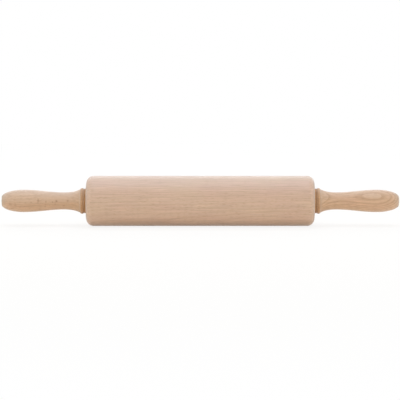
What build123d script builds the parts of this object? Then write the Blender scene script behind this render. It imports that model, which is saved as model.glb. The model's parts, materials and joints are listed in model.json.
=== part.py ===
from build123d import *
import os
from math import cos, pi, radians, sin, tan

# A beech rolling pin with two turned handles. The handles are pressed onto the ends of one steel
# axle, and the roller spins about that axle on a small ball bearing in each end.
# Millimetres. +X runs along the axle to the right-hand handle, +Z is up, and the origin is the
# middle of the roller, on its turning axis. Every right-hand piece is mirrored for the left.

# Roller
roller_length = 250.0
roller_diameter = 55.0
roller_edge_radius = 8.0
seat_ledge = 3.0               # wooden ledge that stops the bearing's outer ring
seat_mouth_chamfer = 0.6

# Ball bearing, the common 8 x 22 x 7 size
bearing_bore = 8.0
bearing_outer_diameter = 22.0
bearing_width = 7.0
ball_diameter = 3.969
ball_count = 7
groove_conformity_share = 0.52  # raceway radius as a share of the ball's diameter
ball_play = 0.02                # gap between a ball and the bottom of its raceway
shoulder_height = 0.55          # from the bottom of a raceway to the ring's shoulder
ring_chamfer = 0.3
shield_thickness = 0.3
shield_inset = 0.25             # the shield lies this far inside the ring's side face
shield_lip = 0.65               # the shield's rim reaches this far past the outer shoulder
shield_gap = 0.3                # between the shield's hole and the inner ring
cage_thickness = 2.0
cage_back_wall = 0.55           # closed side of the crown-shaped cage, behind the balls
cage_front_reach = 1.1          # how far the cage's fingers reach past the balls' centres
pocket_play = 0.08
press_gap = 0.01                # line-to-line fits: rings in wood, sleeves on the axle

# Flanged cap that closes the bearing's seat and shows as the dark ring beside the handle
cap_flange_diameter = 27.2
cap_flange_thickness = 1.8
cap_edge_radius = 0.5
cap_spigot_length = 5.0
cap_spigot_wall = 1.8
cap_bearing_gap = 0.1
cap_bore_clearance = 0.5        # radial, around the spacer, which doesn't turn

# Spacer between the bearing's inner ring and the handle
spacer_wall = 1.75
spacer_chamfer = 0.3

# Handles
end_float = 0.3                 # axial running gap between cap and handle
handle_length = 90.5
land_diameter = 27.0
land_length = 0.9
bead_diameter = 28.4
bead_width = 3.8
flare_diameter = 25.7
neck_diameter = 18.9
grip_diameter = 24.6
end_corner_diameter = 11.5
end_corner_radius = 0.9
bead_top_share = 0.44           # of the bead's width, from its roller side
neck_place_share = 0.2475       # of the handle's length, from its inner face
grip_place_share = 0.73
shoulder_place_share = 0.892
shoulder_size_share = 0.87      # of the grip's diameter
flare_angle = 27.5              # how steeply the flare falls away from the bead, in degrees
tip_angle = 49.5                # how steeply the tip's curve meets the flat end

# Axle
axle_grip_length = 45.0         # how deep each end goes into its handle
axle_end_chamfer = 0.8
knurl_length = 30.0
knurl_height = 0.15
knurl_count = 24
bore_end_gap = 1.5              # free depth past the axle's end
drill_point_angle = 118.0

# Where things lie along the axle, and sizes that follow
roller_face = roller_length / 2
seat_depth = bearing_width + cap_bearing_gap + cap_spigot_length
seat_floor = roller_face - seat_depth
bearing_middle = seat_floor + bearing_width / 2
bearing_face = seat_floor + bearing_width
handle_face = roller_face + cap_flange_thickness + end_float
handle_end = handle_face + handle_length
axle_end = handle_face + axle_grip_length

seat_radius = bearing_outer_diameter / 2 + press_gap
passage_radius = seat_radius - seat_ledge
axle_radius = bearing_bore / 2 - press_gap
knurl_radius = axle_radius + knurl_height
bore_radius = knurl_radius + press_gap
spacer_radius = bearing_bore / 2 + spacer_wall
ball_radius = ball_diameter / 2
pitch_radius = (bearing_outer_diameter + bearing_bore) / 4
groove_radius = groove_conformity_share * ball_diameter
inner_groove_floor = pitch_radius - ball_radius - ball_play
outer_groove_floor = pitch_radius + ball_radius + ball_play
inner_shoulder_radius = inner_groove_floor + shoulder_height
outer_shoulder_radius = outer_groove_floor - shoulder_height
shield_seat_radius = outer_shoulder_radius + shield_lip


def turned(outline):
    """The solid swept by a closed outline, drawn as (along, radius), turned about the X axis."""
    return revolve(make_face(outline), Axis.X)


def tube(start, end, inner, outer):
    """A plain tube about the X axis."""
    return turned(Polyline((start, inner), (end, inner), (end, outer), (start, outer), close=True))


def disc(start, end, radius):
    """A solid cylinder about the X axis."""
    return tube(start, end, 0, radius)


def end_edges(solid, place, radius):
    """The circular edges of a turned solid that lie at one place along X and have one radius."""
    return solid.edges().filter_by(GeomType.CIRCLE).filter_by(
        lambda edge: abs(edge.arc_center.X - place) < press_gap / 2
        and abs(edge.radius - radius) < press_gap / 2
    )


def roller_barrel():
    """The beech roller, bored through for the axle and counterbored at both ends for the bearings."""
    barrel = disc(-roller_face, roller_face, roller_diameter / 2)
    rims = end_edges(barrel, roller_face, roller_diameter / 2)
    rims += end_edges(barrel, -roller_face, roller_diameter / 2)
    barrel = fillet(rims, roller_edge_radius)
    barrel -= disc(-roller_face, roller_face, passage_radius)
    for side in (1, -1):
        barrel -= disc(side * seat_floor, side * roller_face, seat_radius)
    mouths = end_edges(barrel, roller_face, seat_radius) + end_edges(barrel, -roller_face, seat_radius)
    return chamfer(mouths, seat_mouth_chamfer)


def axle_rod():
    """The steel axle: a plain rod with a straight knurl at each end that bites into the handle."""
    rod = disc(-axle_end, axle_end, axle_radius)
    tips = end_edges(rod, axle_end, axle_radius) + end_edges(rod, -axle_end, axle_radius)
    rod = chamfer(tips, axle_end_chamfer)
    tooth_angle = 2 * pi / knurl_count
    crests = []
    for tooth in range(knurl_count):
        for turn, radius in ((0, axle_radius), (tooth_angle / 2, knurl_radius)):
            angle = tooth * tooth_angle + turn
            crests.append((radius * cos(angle), radius * sin(angle)))
    section = make_face(Polyline(*crests, close=True))
    knurl = extrude(Plane.YZ * section, knurl_length)
    start = axle_end - axle_end_chamfer - knurl_length
    rod += Pos(start, 0, 0) * knurl
    return rod + Pos(-start - knurl_length, 0, 0) * knurl


def handle():
    """The right-hand handle: land, bead and flare at the roller, a slim neck, a full grip and a flat end."""
    bead_start = land_length
    bead_end = bead_start + bead_width
    land = land_diameter / 2
    flare = (bead_end, flare_diameter / 2)
    neck = (neck_place_share * handle_length, neck_diameter / 2)
    grip = (grip_place_share * handle_length, grip_diameter / 2)
    shoulder = (shoulder_place_share * handle_length, shoulder_size_share * grip_diameter / 2)
    corner = (handle_length, end_corner_diameter / 2)
    bead_top = (bead_start + bead_top_share * bead_width, bead_diameter / 2)
    outline = Polyline(corner, (handle_length, 0), (0, 0), (0, land), (bead_start, land))
    outline += ThreePointArc((bead_start, land), bead_top, flare)
    outline += Spline(flare, neck, tangents=((1, -tan(radians(flare_angle))), (1, 0)))
    outline += Spline(neck, grip, tangents=((1, 0), (1, 0)))
    outline += Spline(grip, shoulder, corner, tangents=((1, 0), (1, -tan(radians(tip_angle)))))
    body = turned(outline)
    body = fillet(end_edges(body, handle_length, end_corner_diameter / 2), end_corner_radius)

    bore_depth = axle_grip_length + bore_end_gap
    point_depth = bore_radius / tan(radians(drill_point_angle / 2))
    drill = turned(Polyline((0, 0), (0, bore_radius), (bore_depth, bore_radius),
                            (bore_depth + point_depth, 0), close=True))
    return Pos(handle_face, 0, 0) * (body - drill)


def end_cap():
    """The right-hand cap: a flange on the roller's face and a spigot pressed into the bearing's seat."""
    flange_radius = cap_flange_diameter / 2
    flange_face = roller_face + cap_flange_thickness
    flange = disc(roller_face, flange_face, flange_radius)
    rims = end_edges(flange, flange_face, flange_radius) + end_edges(flange, roller_face, flange_radius)
    flange = fillet(rims, cap_edge_radius)
    spigot_radius = seat_radius - press_gap
    spigot = tube(roller_face - cap_spigot_length, roller_face,
                  spigot_radius - cap_spigot_wall, spigot_radius)
    return flange + spigot - disc(roller_face, flange_face, spacer_radius + cap_bore_clearance)


def spacer():
    """The right-hand spacer sleeve, which carries the handle's push to the bearing's inner ring."""
    sleeve = tube(bearing_face, handle_face, bearing_bore / 2, spacer_radius)
    rims = end_edges(sleeve, bearing_face, spacer_radius) + end_edges(sleeve, handle_face, spacer_radius)
    return chamfer(rims, spacer_chamfer)


def raceway(floor_radius, outward):
    """The ring-shaped cut of a raceway whose floor has the given radius, on the side named."""
    centre = floor_radius + (-groove_radius if outward else groove_radius)
    return turned(Pos(bearing_middle, centre) * Circle(groove_radius).wire())


def inner_ring():
    """The bearing's inner ring, fixed on the axle."""
    start, end = bearing_middle - bearing_width / 2, bearing_middle + bearing_width / 2
    ring = tube(start, end, bearing_bore / 2, inner_shoulder_radius)
    bores = end_edges(ring, start, bearing_bore / 2) + end_edges(ring, end, bearing_bore / 2)
    return chamfer(bores, ring_chamfer) - raceway(inner_groove_floor, outward=False)


def outer_ring():
    """The bearing's outer ring, pressed into the roller, with a step at each side for a shield."""
    start, end = bearing_middle - bearing_width / 2, bearing_middle + bearing_width / 2
    radius = bearing_outer_diameter / 2
    ring = tube(start, end, outer_shoulder_radius, radius)
    rims = end_edges(ring, start, radius) + end_edges(ring, end, radius)
    ring = chamfer(rims, ring_chamfer) - raceway(outer_groove_floor, outward=True)
    step = shield_inset + shield_thickness
    ring -= disc(start, start + step, shield_seat_radius)
    return ring - disc(end - step, end, shield_seat_radius)


def shield(side):
    """A thin steel disc in the outer ring's step, on the outboard (1) or inboard (-1) side."""
    outside = bearing_middle + side * (bearing_width / 2 - shield_inset)
    inside = outside - side * shield_thickness
    return tube(min(inside, outside), max(inside, outside),
                inner_shoulder_radius + shield_gap, shield_seat_radius - press_gap)


def ball(number):
    """One ball of the right-hand bearing, in the pocket of that number."""
    angle = 2 * pi * number / ball_count
    place = Pos(bearing_middle, pitch_radius * cos(angle), pitch_radius * sin(angle))
    return place * Sphere(ball_radius)


def cage():
    """The moulded cage: a ring behind the balls, with fingers that reach between them."""
    pocket_radius = ball_radius + pocket_play
    ring = tube(bearing_middle - cage_front_reach, bearing_middle + pocket_radius + cage_back_wall,
                pitch_radius - cage_thickness / 2, pitch_radius + cage_thickness / 2)
    for number in range(ball_count):
        ring -= Pos(ball(number).center()) * Sphere(pocket_radius)
    return ring


def right_hand_pieces():
    """Every piece that has a mirrored twin, by the name it has without its side."""
    pieces = {
        "handle": handle(),
        "end_cap": end_cap(),
        "spacer_sleeve": spacer(),
        "bearing_outer_ring": outer_ring(),
        "bearing_inner_ring": inner_ring(),
        "bearing_outboard_shield": shield(1),
        "bearing_inboard_shield": shield(-1),
        "bearing_cage": cage(),
    }
    for number in range(ball_count):
        pieces[f"bearing_ball_{number + 1}"] = ball(number)
    return pieces


def main():
    nodes = {"roller_barrel": roller_barrel(), "axle_rod": axle_rod()}
    for name, piece in right_hand_pieces().items():
        nodes[f"right_{name}"] = piece
        nodes[f"left_{name}"] = mirror(piece, about=Plane.YZ)
    os.makedirs("parts", exist_ok=True)
    for name, shape in nodes.items():
        export_step(shape, f"parts/{name}.step")
    print("nodes", len(nodes), "overall length", 2 * handle_end, "axle length", 2 * axle_end)
    print("ball circle turns", round((1 + ball_radius / pitch_radius) / 2, 5), "for each turn of the roller")


main()
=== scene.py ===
import json
import math

import bpy
import numpy as np
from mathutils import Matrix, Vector


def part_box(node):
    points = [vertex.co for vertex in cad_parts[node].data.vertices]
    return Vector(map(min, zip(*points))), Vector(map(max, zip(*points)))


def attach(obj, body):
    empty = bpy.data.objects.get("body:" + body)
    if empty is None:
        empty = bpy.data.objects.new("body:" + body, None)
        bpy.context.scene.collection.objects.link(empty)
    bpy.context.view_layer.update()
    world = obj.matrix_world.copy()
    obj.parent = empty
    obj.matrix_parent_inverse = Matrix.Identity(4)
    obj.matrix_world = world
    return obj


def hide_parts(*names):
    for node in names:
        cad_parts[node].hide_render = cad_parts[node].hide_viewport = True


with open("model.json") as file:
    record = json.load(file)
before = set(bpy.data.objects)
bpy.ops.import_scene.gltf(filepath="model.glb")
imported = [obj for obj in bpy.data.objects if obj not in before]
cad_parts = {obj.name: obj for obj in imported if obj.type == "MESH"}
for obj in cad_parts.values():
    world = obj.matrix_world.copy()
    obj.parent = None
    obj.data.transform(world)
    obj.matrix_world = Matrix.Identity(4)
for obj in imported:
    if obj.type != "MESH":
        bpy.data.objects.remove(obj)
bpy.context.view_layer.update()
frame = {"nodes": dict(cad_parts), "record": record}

# The rolling pin lies along X with its roller on the floor. Metres throughout; the turned wood and
# the two caps are drawn again here in fine lathe rings, and the steel inside keeps its CAD shape.
mm = 0.001

# The photograph's view
photo_pixels = 400
photo_width = 439.0 * mm          # what the photograph spans at the pin's axis
camera_distance = 2200 * mm
camera_elevation = 7.0            # degrees above the pin
axis_pixel = (200.3, 200.9)       # where the middle of the pin falls in the photograph

# Roller, as in the frame
roller_low, roller_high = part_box("roller_barrel")
roller_face = roller_high.x
roller_radius = roller_high.z
roller_rounding = 8.0 * mm
seat_radius = 11.01 * mm
seat_depth = 12.1 * mm
seat_chamfer = 0.6 * mm
passage_radius = 8.01 * mm

# End caps
cap_low, cap_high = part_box("right_end_cap")
flange_face = cap_high.x
flange_radius = cap_high.z
flange_rounding = 0.5 * mm
spigot_radius = 11.0 * mm
spigot_wall = 1.8 * mm
cap_hole_radius = 6.25 * mm

# Handles
handle_low, handle_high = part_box("right_handle")
handle_face = handle_low.x
handle_end = handle_high.x
handle_length = handle_end - handle_face
land_radius = 13.5 * mm
land_length = 0.9 * mm
bead_radius = handle_high.z
bead_width = 3.8 * mm
bead_top_share = 0.44
flare_radius = 12.85 * mm
flare_angle = 27.5
neck_radius = 9.45 * mm
neck_share = 0.2475
grip_radius = 12.3 * mm
grip_share = 0.73
shoulder_radius = 10.70 * mm
shoulder_share = 0.892
tip_radius = 5.75 * mm
tip_angle = 49.5
tip_rounding = 0.9 * mm
tip_edge_start = 40               # degrees at which the tip's small rounding takes over
tip_edge_reach = 0.62             # shares of that rounding: where it starts along the handle,
tip_edge_rise = 0.45              # and how far its centre lies below the tip's edge
bore_radius = 4.15 * mm
bore_depth = 46.5 * mm
centre_mark_radius = 1.1 * mm     # the dimple that the lathe's point leaves in the end
centre_mark_depth = 0.9 * mm

# The lathe
lathe_sides = 288
ring_step = 0.9 * mm
barrel_step = 1.4 * ring_step     # on the roller's long straight part
sharp_edge = 32                   # degrees from which an edge is left sharp
roller_waver = 0.012 * mm
handle_waver = 0.015 * mm

# Wood: how many flecks of the rays lie in a millimetre, and the colours that every piece shares
ray_flecks = (0.14, 1.4)          # the slim ones, along the grain and round the rings
broad_flecks = (0.19, 0.34)       # the broad ones, along the grain and out from the heart
fleck_brown = (0.40, 0.235, 0.14)
knot_brown = (0.32, 0.18, 0.10)
sapwood_pale = (0.605, 0.435, 0.31)
end_grain_grey = (0.485, 0.385, 0.30)
crevice_shade_gold = (0.86, 0.73, 0.57)    # painted shade and warm bounce light from the roller's end face, multiplied into the wood


# Outlines, drawn as (along, radius) points
def run(start, end, step=ring_step):
    """Points on the straight line between two points, end left out."""
    start, end = np.array(start, float), np.array(end, float)
    count = max(1, math.ceil(np.linalg.norm(end - start) / step))
    return [start + (end - start) * k / count for k in range(count)]


def bend(centre, radius, first, last, count):
    """Points on an arc about a centre, between two angles in degrees, both ends in."""
    angles = np.radians(np.linspace(first, last, count))
    return [np.array((centre[0] + radius * math.cos(a), centre[1] + radius * math.sin(a))) for a in angles]


def arc_through(start, middle, end, count):
    """Points on the arc through three points, end left out."""
    (ax, ay), (bx, by), (cx, cy) = start, middle, end
    scale = 2 * (ax * (by - cy) + bx * (cy - ay) + cx * (ay - by))
    a2, b2, c2 = ax * ax + ay * ay, bx * bx + by * by, cx * cx + cy * cy
    ux = (a2 * (by - cy) + b2 * (cy - ay) + c2 * (ay - by)) / scale
    uy = (a2 * (cx - bx) + b2 * (ax - cx) + c2 * (bx - ax)) / scale
    radius = math.hypot(ax - ux, ay - uy)
    first = math.degrees(math.atan2(ay - uy, ax - ux))
    last = math.degrees(math.atan2(cy - uy, cx - ux))
    return bend((ux, uy), radius, first, last, count)[:-1]


def batten(points, start_slope, end_slope, count):
    """Points on the curve of a springy batten held at the given points, end left out."""
    points = [np.array(p, float) for p in points]
    spans = [np.linalg.norm(b - a) for a, b in zip(points, points[1:])]
    pulls = [np.array((1, slope)) / math.hypot(1, slope) for slope in (start_slope, end_slope)]
    if len(points) == 3:
        (h, k), (a, b, c) = spans, points
        middle = (3 * (h / k * (c - b) + k / h * (b - a)) - k * pulls[0] - h * pulls[1]) / (2 * (h + k))
        pulls.insert(1, middle)
    made = []
    for a, b, h, pull_a, pull_b in zip(points, points[1:], spans, pulls, pulls[1:]):
        for t in np.linspace(0, 1, count, endpoint=False):
            made.append(
                (1 + 2 * t) * (1 - t) ** 2 * a + t * (1 - t) ** 2 * h * pull_a
                + t * t * (3 - 2 * t) * b - t * t * (1 - t) * h * pull_b
            )
    return made


def handle_outline():
    """The right handle from the bottom of its bore, out over bead, neck and grip, to its end."""
    bead_start = handle_face + land_length
    bead_end = bead_start + bead_width
    bead_top = (bead_start + bead_top_share * bead_width, bead_radius)
    flare = (bead_end, flare_radius)
    neck = (handle_face + neck_share * handle_length, neck_radius)
    grip = (handle_face + grip_share * handle_length, grip_radius)
    shoulder = (handle_face + shoulder_share * handle_length, shoulder_radius)
    tip = (handle_end, tip_radius)
    bore_end = handle_face + bore_depth
    points = run((bore_end, 0), (bore_end, bore_radius))
    points += run((bore_end, bore_radius), (handle_face, bore_radius), 3 * ring_step)
    points += run((handle_face, bore_radius), (handle_face, land_radius))
    points += run((handle_face, land_radius), (bead_start, land_radius), land_length / 4)
    points += arc_through((bead_start, land_radius), bead_top, flare, 18)
    points += batten([flare, neck], -math.tan(math.radians(flare_angle)), 0, 26)
    points += batten([neck, grip], 0, 0, 46)
    nose = batten([grip, shoulder, tip], 0, -math.tan(math.radians(tip_angle)), 22)
    points += [p for p in nose if p[0] < handle_end - tip_rounding * tip_edge_reach]
    edge_centre = (handle_end - tip_rounding, tip_radius - tip_rounding * tip_edge_rise)
    points += bend(edge_centre, tip_rounding, tip_edge_start, 0, 7)
    dimple = (handle_end, centre_mark_radius)
    points += run((handle_end, tip_radius - tip_rounding), dimple, ring_step / 2)
    points += run(dimple, (handle_end - centre_mark_depth, 0), centre_mark_depth / 3)
    points.append(np.array((handle_end - centre_mark_depth, 0)))
    return points


def roller_outline():
    """Half of the roller, from the middle of its passage to the middle of its outside."""
    floor = roller_face - seat_depth
    mouth = seat_radius + seat_chamfer
    rounding_centre = (roller_face - roller_rounding, roller_radius - roller_rounding)
    points = run((0, passage_radius), (floor, passage_radius), 8 * ring_step)
    points += run((floor, passage_radius), (floor, seat_radius))
    points += run((floor, seat_radius), (roller_face - seat_chamfer, seat_radius))
    points += run((roller_face - seat_chamfer, seat_radius), (roller_face, mouth), seat_chamfer / 3)
    points += run((roller_face, mouth), (roller_face, rounding_centre[1]))
    points += bend(rounding_centre, roller_rounding, 0, 90, 25)[:-1]
    points += run((rounding_centre[0], roller_radius), (0, roller_radius), barrel_step)
    return points


def cap_outline():
    """The right end cap: flange, hole, spigot and the step between them."""
    flange_back = roller_face
    spigot_end = cap_low.x
    inside = spigot_radius - spigot_wall
    points = run((spigot_end, inside), (flange_back, inside))
    points += run((flange_back, inside), (flange_back, cap_hole_radius))
    points += run((flange_back, cap_hole_radius), (flange_face, cap_hole_radius), flange_rounding)
    points += run((flange_face, cap_hole_radius), (flange_face, flange_radius - flange_rounding))
    corner = (flange_face - flange_rounding, flange_radius - flange_rounding)
    points += bend(corner, flange_rounding, 0, 90, 7)
    corner = (flange_back + flange_rounding, flange_radius - flange_rounding)
    points += bend(corner, flange_rounding, 90, 180, 7)
    points += run((flange_back, flange_radius - flange_rounding), (flange_back, spigot_radius))[1:]
    points += run((flange_back, spigot_radius), (spigot_end, spigot_radius))
    points += run((spigot_end, spigot_radius), (spigot_end, inside))
    return points


def turned(name, outline, side=1, waver=0.0, closed=False, seed=0):
    """A turned piece: its outline swept about the X axis in quads. Waver is how far the wood's
    surface strays from a perfect round, as a turner's tool and sandpaper leave it."""
    points = np.array(outline)
    points[:, 0] *= side
    angles = np.arange(lathe_sides) * 2 * math.pi / lathe_sides
    rng = np.random.default_rng(seed)
    stray = np.zeros((len(points), lathe_sides))
    for lobes in (2, 3, 5):
        phase, drift = rng.uniform(0, 2 * math.pi), rng.uniform(20, 60)
        stray += np.sin(lobes * angles[None, :] + phase + drift * points[:, :1]) / lobes
    feed = rng.uniform(2.2, 3.0) * mm
    stray += 0.5 * np.sin(points[:, :1] * 2 * math.pi / feed + angles[None, :])
    radius = points[:, 1:] + waver * stray * (points[:, 1:] > 1.05 * bore_radius)
    spots = np.stack([
        np.broadcast_to(points[:, :1], radius.shape),
        radius * np.cos(angles),
        radius * np.sin(angles),
    ], axis=-1)
    verts, rows = [], []
    for ring, (along, r) in zip(spots, points):
        if r < 1e-9:
            rows.append([len(verts)] * lathe_sides)
            verts.append((along, 0, 0))
        else:
            rows.append(range(len(verts), len(verts) + lathe_sides))
            verts.extend(map(tuple, ring))
    if closed:
        rows.append(rows[0])
    faces = []
    for low, high in zip(rows, rows[1:]):
        for k in range(lathe_sides):
            n = (k + 1) % lathe_sides
            corners = list(dict.fromkeys((low[k], high[k], high[n], low[n])))
            faces.append(corners if side > 0 else corners[::-1])
    mesh = bpy.data.meshes.new(name)
    mesh.from_pydata(verts, [], faces)
    mesh.validate()
    piece = bpy.data.objects.new(name, mesh)
    bpy.context.scene.collection.objects.link(piece)
    mesh.shade_smooth()
    mesh.set_sharp_from_angle(angle=math.radians(sharp_edge))
    return piece


# Shader maths
class Signal:
    """One output in a node tree. Arithmetic on it adds a Math node."""

    def __init__(self, finish, socket):
        self.finish = finish
        self.socket = socket

    def math(self, operation, first, second=0.0):
        return self.finish.node("ShaderNodeMath", {"operation": operation}, {0: first, 1: second})

    def __add__(self, other):
        return self.math("ADD", self, other)

    def __sub__(self, other):
        return self.math("SUBTRACT", self, other)

    def __rsub__(self, other):
        return self.math("SUBTRACT", other, self)

    def __mul__(self, other):
        return self.math("MULTIPLY", self, other)

    def __truediv__(self, other):
        return self.math("DIVIDE", self, other)

    def __pow__(self, other):
        return self.math("POWER", self, other)

    def __abs__(self):
        return self.math("ABSOLUTE", self)

    __radd__ = __add__
    __rmul__ = __mul__

    def step(self, low, high):
        """0 below low, 1 above high, and a smooth rise between."""
        return self.finish.node(
            "ShaderNodeMapRange", {"interpolation_type": "SMOOTHSTEP"},
            {0: self, 1: low, 2: high, 3: 0.0, 4: 1.0})


class Finish:
    """A node tree under construction, for a material or for the world."""

    def __init__(self, owner):
        owner.use_nodes = True
        self.owner = owner
        self.tree = owner.node_tree
        self.tree.nodes.clear()

    def node(self, kind, settings=None, sockets=None, output=0):
        """Adds a node: its settings first, then the numbers, colours or links of its sockets. Gives
        back the output asked for, or a list where several are asked for."""
        made = self.tree.nodes.new(kind)
        for key, value in (settings or {}).items():
            setattr(made, key, value)
        for key, value in (sockets or {}).items():
            if isinstance(value, Signal):
                self.tree.links.new(value.socket, made.inputs[key])
            elif isinstance(value, tuple) and len(made.inputs[key].default_value) == 4:
                made.inputs[key].default_value = (*value, 1)
            else:
                made.inputs[key].default_value = value
        if isinstance(output, list):
            return [Signal(self, made.outputs[each]) for each in output]
        return Signal(self, made.outputs[output]) if made.outputs else None

    def scaled(self, vector, amounts, shift=(0.0, 0.0, 0.0)):
        """A vector with each part multiplied by its own amount, then shifted."""
        return self.node(
            "ShaderNodeVectorMath", {"operation": "MULTIPLY_ADD"}, {0: vector, 1: amounts, 2: shift})

    def joined(self, x, y, z):
        return self.node("ShaderNodeCombineXYZ", None, {0: x, 1: y, 2: z})

    def noise(self, vector, detail=2.0, rough=0.5, scale=1.0):
        return self.node("ShaderNodeTexNoise", None, {
            "Vector": vector, "Scale": scale, "Detail": detail, "Roughness": rough})

    def mix(self, share, first, second):
        """A colour between two others."""
        return self.node(
            "ShaderNodeMix", {"data_type": "RGBA"}, {0: share, 6: first, 7: second}, output=2)

    def tint(self, colour, amount):
        """A colour made darker or lighter by a signal."""
        return self.node("ShaderNodeVectorMath", {"operation": "SCALE"}, {0: colour, "Scale": amount})

    def surface(self, colour, roughness, height=None, depth=0.0, **fixed):
        """Ends a material in a Principled shader. Height is bump, depth its full size in metres."""
        sockets = {"Base Color": colour, "Roughness": roughness}
        if height is not None:
            sockets["Normal"] = self.node("ShaderNodeBump", None, {
                "Strength": 1.0, "Distance": depth, "Height": height})
        for key, value in fixed.items():
            sockets[key.replace("_", " ")] = value
        shader = self.node("ShaderNodeBsdfPrincipled", None, sockets)
        self.node("ShaderNodeOutputMaterial", None, {"Surface": shader})
        return self.owner

    def seen(self):
        """1 where the camera, a reflection or a see-through piece looks at the surface, else 0."""
        camera_ray, glossy_ray, through_ray = self.node(
            "ShaderNodeLightPath", output=["Is Camera Ray", "Is Glossy Ray", "Is Transmission Ray"])
        return (camera_ray + glossy_ray + through_ray).step(0.0, 1.0)


def finish_named(name):
    return Finish(bpy.data.materials.new(name))


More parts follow.
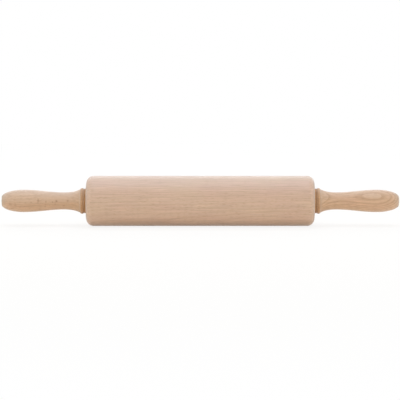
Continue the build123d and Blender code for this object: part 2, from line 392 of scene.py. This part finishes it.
def beech(name, heart, lean, ring_width, first_ring, early, late, flush, pale, bold=1.0, vintage=3.0,
          sap=(400.0, 401.0), silver=0.0, knots=(), slopes=(0.68, 0.98), polish=0.5, bead=None):
    """Solid beech. The trunk's heart runs beside the piece, heart millimetres off in Y and Z and
    leaning by lean for each millimetre along, so rings, rays and pores cross every face as in a real
    blank.

    Rings are ring_width millimetres wide and counted from first_ring millimetres off the heart. Their
    wood goes from early to late in each year, by bold in all, and vintage picks which years are the
    strong ones. Flush and pale are the tones of the cloudy patches. Between the two depths of sap, in
    millimetres off the heart, the heartwood gives way to paler sapwood.

    Silver is how strongly the broad ray flecks show on the quarter faces. Knots are small dark
    flecks, each (along, across, up, length, height) in millimetres. Slopes are how far a face turns
    towards the ends before its end grain starts and is full. Polish is the shine left by sanding and
    hands. Bead is where the handle's bead ends along X, in millimetres: up to there, and fading out
    over 12 millimetres past it, the colour is darkened to a golden brown by painted shade and painted
    warm bounce light from the roller's end face."""
    wood = finish_named(name)
    place, normal = wood.node("ShaderNodeTexCoord", output=["Object", "Normal"])
    at = wood.scaled(place, (1000.0, 1000.0, 1000.0))
    x, y, z = wood.node("ShaderNodeSeparateXYZ", None, {0: at}, output=[0, 1, 2])
    facing = wood.node("ShaderNodeSeparateXYZ", None, {0: normal}, output=[0, 1, 2])

    # growth rings about the heart, which wanders
    drift = wood.noise(wood.scaled(at, (0.009, 0.02, 0.02)), detail=1.0) - 0.5
    sway = wood.noise(wood.scaled(at, (0.035, 0.14, 0.14)), detail=2.0) - 0.5
    across = y - heart[0] - x * lean[0] + drift * 3.0
    up = z - heart[1] - x * lean[1] + drift * 4.0
    depth = (across * across + up * up) ** 0.5 + sway * 0.7
    around = across.math("ARCTAN2", across, up) * math.hypot(*heart)
    pace = wood.noise(wood.joined(depth * 0.09, 0.0, 0.0)) - 0.5
    years = (depth - first_ring) / ring_width + pace * 2.0
    season = years.math("FRACT", years)
    late_wood = season.step(0.30, 0.92) * (1 - season.step(0.94, 1.0))
    harsh = wood.noise(wood.joined(depth / ring_width * 0.6, vintage, 0.0), detail=1.0).step(0.30, 0.75)

    # fibres, the strands and streaks that they gather into, pores, and the slim brown flecks of the
    # rays, seen best where the rings lie flat
    fibre = wood.noise(wood.scaled(at, (0.07, 2.6, 2.6)), detail=3.0, rough=0.65)
    strand = wood.noise(wood.scaled(at, (0.055, 0.9, 0.9)), detail=2.0, rough=0.55)
    streak = wood.noise(wood.scaled(at, (0.014, 0.5, 0.5)), detail=2.0, rough=0.6)
    pores = wood.noise(wood.scaled(at, (0.30, 7.0, 7.0)), detail=1.0).step(0.60, 0.76)
    bent = around + sway * 1.2
    distance, lot = wood.node(
        "ShaderNodeTexVoronoi", {"voronoi_dimensions": "2D", "distance": "MINKOWSKI"}, {
            "Vector": wood.joined(x * ray_flecks[0], bent * ray_flecks[1], 0.0),
            "Scale": 1.0, "Exponent": 1.4}, output=[0, 1])
    chance, size = wood.node("ShaderNodeSeparateColor", None, {0: lot}, output=[0, 1])
    fade = (wood.noise(wood.joined(x * 0.13, bent * 1.2, depth * 0.13), detail=0.0) - 0.5) * 0.8
    flat = (facing[1] * across + facing[2] * up) / depth
    flat = abs(flat).step(0.25, 0.9)
    rays = (1 - (distance / (size + 0.5)).step(0.15, 0.29)) * (chance + fade).step(0.30, 0.55)
    rays = rays * (flat * 0.8 + 0.2)

    # the broad flecks where a ray lies in the face
    distance, lot = wood.node("ShaderNodeTexVoronoi", {"voronoi_dimensions": "2D"}, {
        "Vector": wood.joined(x * broad_flecks[0], (depth + sway * 2.0) * broad_flecks[1], 0.0),
        "Scale": 1.0}, output=[0, 1])
    chance, size = wood.node("ShaderNodeSeparateColor", None, {0: lot}, output=[0, 1])
    ragged = distance / (size + 0.4) + (fibre - 0.5) * 0.3
    broad = (1 - ragged.step(0.14, 0.34)) * chance.step(0.40, 0.60) * (1 - flat)

    # cloudy patches, end grain, and a painted highlight on the rounding of an edge, where side light would
    # catch it
    patches = wood.noise(wood.scaled(at, (0.016, 0.05, 0.05)), detail=2.0).step(0.35, 0.68)
    straw = wood.noise(wood.scaled(at, (0.020, 0.07, 0.07), (7.0, 3.0, 5.0)), detail=2.0).step(0.40, 0.72)
    sideways = abs(facing[0])
    end_grain = sideways.step(*slopes)
    painted_rim_light = sideways.step(0.10, 0.45) * (1 - sideways.step(0.68, 0.98))

    # all of it laid into the colour
    colour = wood.mix(patches * 0.45, early, flush)
    colour = wood.mix(straw * 0.35, colour, pale)
    sapwood = depth.step(*sap)
    colour = wood.mix(sapwood * 0.8, colour, sapwood_pale)
    colour = wood.mix(late_wood * (harsh * 0.5 + 0.3) * (1 - sapwood * 0.7) * bold, colour, late)
    colour = wood.mix(rays * 0.42, colour, fleck_brown)
    colour = wood.mix(broad * silver, colour, fleck_brown)
    colour = wood.mix(end_grain * 0.65, colour, end_grain_grey)
    shade = 1 + (streak - 0.5) * 0.24 + (strand - 0.5) * 0.36 + (fibre - 0.5) * 0.24
    # painted highlight: the rounding of an edge is made up to 3.5 % lighter
    shade = shade - pores * 0.07 + painted_rim_light * 0.035
    knot_edge = wood.noise(wood.scaled(at, (0.35, 0.55, 0.55)), detail=2.0)
    for kx, ky, kz, long, tall in knots:
        away = wood.node("ShaderNodeVectorMath", {"operation": "LENGTH"}, {0: wood.joined(
            (x - kx) / long, (y - ky) / tall, (z - kz) / tall)}, output="Value")
        away = away + (fibre - 0.5) * 0.9 + (knot_edge - 0.5) * 1.6
        colour = wood.mix((1 - away.step(0.1, 1.1)) * 0.75, colour, knot_brown)
    colour = wood.tint(colour, shade)
    # painted shade and painted warm bounce light from the roller's end face: the handle's colour is
    # multiplied towards golden brown up to 1.4 mm short of the bead's end, by a third to that end, and
    # fades out over 12 mm past it
    if bead:
        past = abs(x) - bead
        painted_crevice_shade = 1 - past.step(-1.4, -0.4) * 0.7 - past.step(0.0, 12.0) * 0.3
        colour = wood.node("ShaderNodeMix", {"data_type": "RGBA", "blend_type": "MULTIPLY"}, {
            0: painted_crevice_shade, 6: colour, 7: crevice_shade_gold}, output=2)
    roughness = 0.60 - polish * 0.20 - rays * 0.12 + pores * 0.05 + end_grain * 0.12 + (streak - 0.5) * 0.08
    height = fibre * 0.45 + streak * 0.2 - pores * 0.5 - late_wood * 0.12
    return wood.surface(
        colour, roughness, height, 0.06 * mm,
        IOR=1.5, Specular_IOR_Level=polish, Sheen_Weight=0.5, Sheen_Roughness=0.4)


def moulded(name, colour, deep, grain, roughness):
    """Moulded plastic: a cloudy colour and the fine texture of the mould."""
    plastic = finish_named(name)
    place = plastic.node("ShaderNodeTexCoord", output="Object")
    cloud = plastic.noise(place, detail=3.0, scale=180.0)
    skin = plastic.noise(place, detail=2.0, scale=grain)
    shade = plastic.mix(cloud.step(0.3, 0.75), colour, deep)
    roughness = roughness + (cloud - 0.5) * 0.16
    return plastic.surface(shade, roughness, skin, 0.03 * mm, IOR=1.48, Specular_IOR_Level=0.3)


def steel(name, colour, roughness, lines):
    """Steel with the fine lines of drawing or grinding: lines gives how densely they lie along the
    axle and around it."""
    metal = finish_named(name)
    place = metal.node("ShaderNodeTexCoord", output="Object")
    x, y, z = metal.node("ShaderNodeSeparateXYZ", None, {0: place}, output=[0, 1, 2])
    distance = (y * y + z * z) ** 0.5
    turn = y.math("ARCTAN2", y, z)
    scratch = metal.noise(metal.joined(x * lines[0], turn * lines[1], distance * lines[0]), detail=3.0)
    cloud = metal.noise(place, detail=2.0, scale=90.0)
    tone = metal.tint(metal.mix(cloud, colour, (0.80, 0.81, 0.83)), 0.9 + scratch * 0.2)
    rough = roughness + (scratch - 0.5) * 0.18 + (cloud - 0.5) * 0.06
    return metal.surface(tone, rough, scratch, 0.01 * mm, Metallic=1.0)


# The pin's pieces
def dress():
    """Makes the turned pieces in place of the CAD ones, which it hides, gives each its body and finish, and
    finishes the steel inside.
    """
    roller_half = roller_outline()
    mirrored = [np.array((-p[0], p[1])) for p in reversed(roller_half[1:])]
    last = np.array((0, roller_radius))
    outline = roller_half + [last] + mirrored
    roller = turned("beech_roller", outline, waver=roller_waver, closed=True, seed=3)
    roller.data.materials.append(beech(
        "roller_beech", heart=(60.0, 70.0), lean=(0.012, 0.016), ring_width=2.0, first_ring=0.0,
        early=(0.595, 0.427, 0.320), late=(0.495, 0.334, 0.238), flush=(0.595, 0.392, 0.305),
        pale=(0.59, 0.437, 0.298), bold=0.65))
    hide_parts("roller_barrel")
    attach(roller, "roller")

    brown = moulded("cap_brown", (0.52, 0.265, 0.10), (0.42, 0.21, 0.08), 2600.0, 0.42)
    outline = handle_outline()
    bead = (handle_face + land_length + bead_width) / mm
    left_beech = beech(
        "left_handle_beech", heart=(9.0, -36.0), lean=(0.0, 0.01), ring_width=2.2, first_ring=0.0,
        early=(0.56, 0.37, 0.235), late=(0.46, 0.28, 0.165), flush=(0.57, 0.35, 0.24),
        pale=(0.555, 0.38, 0.23), bold=0.7, bead=bead, slopes=(0.10, 0.80), polish=0.4, sap=(38.8, 45.5),
        silver=0.5, knots=(
            (-177.0, -12.1, 1.7, 1.9, 3.0), (-157.2, -9.6, 1.0, 1.6, 1.5), (-145.0, -9.4, 1.1, 1.6, 1.6),
            (-168.4, -10.9, 0.4, 1.1, 1.2), (-161.6, -10.0, 0.0, 1.0, 1.1)))
    right_beech = beech(
        "right_handle_beech", heart=(42.8, -26.8), lean=(-0.030, 0.0187), ring_width=1.8, first_ring=1.68,
        early=(0.62, 0.42, 0.275), late=(0.43, 0.255, 0.145), flush=(0.61, 0.385, 0.265),
        pale=(0.595, 0.41, 0.25), bold=1.05, vintage=9.1, bead=bead, slopes=(0.10, 0.80), polish=0.4,
        sap=(54.2, 57.0), silver=0.2)
    for side, word, finish in ((-1, "left", left_beech), (1, "right", right_beech)):
        handle = turned(f"{word}_beech_handle", outline, side, waver=handle_waver, seed=5 + side)
        handle.data.materials.append(finish)
        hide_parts(f"{word}_handle")
        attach(handle, "handle_assembly")
        cap = turned(f"{word}_brown_cap", cap_outline(), side, closed=True)
        cap.data.materials.append(brown)
        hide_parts(f"{word}_end_cap")
        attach(cap, "roller")

    metals = {
        "axle_steel": steel("axle_drawn_steel", (0.56, 0.57, 0.58), 0.34, (60.0, 46.0)),
        "bearing_steel": steel("bearing_ground_steel", (0.62, 0.63, 0.65), 0.24, (2200.0, 3.0)),
        "ball_steel": steel("ball_polished_steel", (0.70, 0.71, 0.73), 0.09, (160.0, 5.0)),
        "cage_plastic": moulded("cage_natural_nylon", (0.74, 0.69, 0.56), (0.66, 0.60, 0.46), 1800.0, 0.5),
    }
    for part in frame["record"]["subparts"]:
        if part["material_slot"] in metals:
            node = frame["nodes"][part["node"]]
            node.data.materials.clear()
            node.data.materials.append(metals[part["material_slot"]])


# Floor, light and camera
def studio():
    """A pale floor under the roller, a white surround, and large soft lamps above, behind, at both
    sides and low in front."""
    white = {"Color": (1.0, 1.0, 1.0), "Strength": 1.0}
    mesh = bpy.data.meshes.new("floor")
    reach = 9.0
    low = -roller_radius
    corners = [(-reach, -reach, low), (reach, -reach, low), (reach, reach, low), (-reach, reach, low)]
    mesh.from_pydata(corners, [], [(0, 1, 2, 3)])
    floor = bpy.data.objects.new("floor", mesh)
    bpy.context.scene.collection.objects.link(floor)
    paper = finish_named("paper_floor")
    diffuse = paper.node("ShaderNodeBsdfDiffuse", None, {"Color": (0.97, 0.91, 0.81)})
    glow = paper.node("ShaderNodeEmission", None, white)
    place = paper.node("ShaderNodeTexCoord", output="Object")
    away = paper.node("ShaderNodeVectorMath", {"operation": "LENGTH"}, {0: place}, output="Value")
    share = 0.86 + away.step(0.25, 0.95) * 0.14      # the floor shows the pin's shadow only near the pin
    shader = paper.node("ShaderNodeMixShader", None, {0: paper.seen() * share, 1: diffuse, 2: glow})
    paper.node("ShaderNodeOutputMaterial", None, {"Surface": shader})
    mesh.materials.append(paper.owner)

    world = bpy.data.worlds.new("surround")
    bpy.context.scene.world = world
    sky = Finish(world)
    plain = sky.node("ShaderNodeBackground", None, {"Color": (1.0, 0.99, 0.91), "Strength": 0.35})
    bright = sky.node("ShaderNodeBackground", None, white)
    shader = sky.node("ShaderNodeMixShader", None, {0: sky.seen(), 1: plain, 2: bright})
    sky.node("ShaderNodeOutputWorld", None, {"Surface": shader})

    for name, place, size, watts, tone in (
        ("overhead_softbox", (0.0, 0.0, 1.50), (1.8, 1.0), 16.0, (0.90, 1.00, 1.19)),
        ("back_softbox", (0.0, 1.20, 0.80), (1.8, 0.8), 8.4, (0.96, 1.00, 1.08)),
        ("left_softbox", (-1.50, -0.40, 0.50), (0.8, 0.8), 3.5, (1.06, 1.00, 0.91)),
        ("right_softbox", (1.50, -0.40, 0.50), (0.8, 0.8), 3.5, (1.06, 1.00, 0.91)),
        ("low_front_softbox", (0.0, -1.50, 0.04), (1.8, 0.12), 5.0, (1.14, 1.00, 0.86)),
    ):
        lamp = bpy.data.lights.new(name, "AREA")
        lamp.shape = "RECTANGLE"
        lamp.size, lamp.size_y = size
        lamp.energy = watts
        lamp.color = tone
        holder = bpy.data.objects.new(name, lamp)
        holder.location = place
        holder.rotation_euler = (-Vector(place)).to_track_quat("-Z", "Y").to_euler()
        bpy.context.scene.collection.objects.link(holder)


def camera():
    """The photograph's camera: far off and a little above the pin."""
    lens = bpy.data.cameras.new("camera")
    lens.sensor_width = 36.0
    lens.lens = lens.sensor_width * camera_distance / photo_width
    lens.clip_end = 50.0
    lens.dof.use_dof = False
    lens.shift_x = (photo_pixels / 2 - axis_pixel[0]) / photo_pixels
    lens.shift_y = (axis_pixel[1] - photo_pixels / 2) / photo_pixels
    eye = bpy.data.objects.new("camera", lens)
    up = math.radians(camera_elevation)
    back = Vector((0, -math.cos(up), math.sin(up)))
    eye.location = back * camera_distance
    eye.rotation_euler = (-back).to_track_quat("-Z", "Y").to_euler()
    bpy.context.scene.collection.objects.link(eye)
    bpy.context.scene.camera = eye


camera()
dress()
studio()
bpy.context.scene.view_settings.view_transform = "Standard"
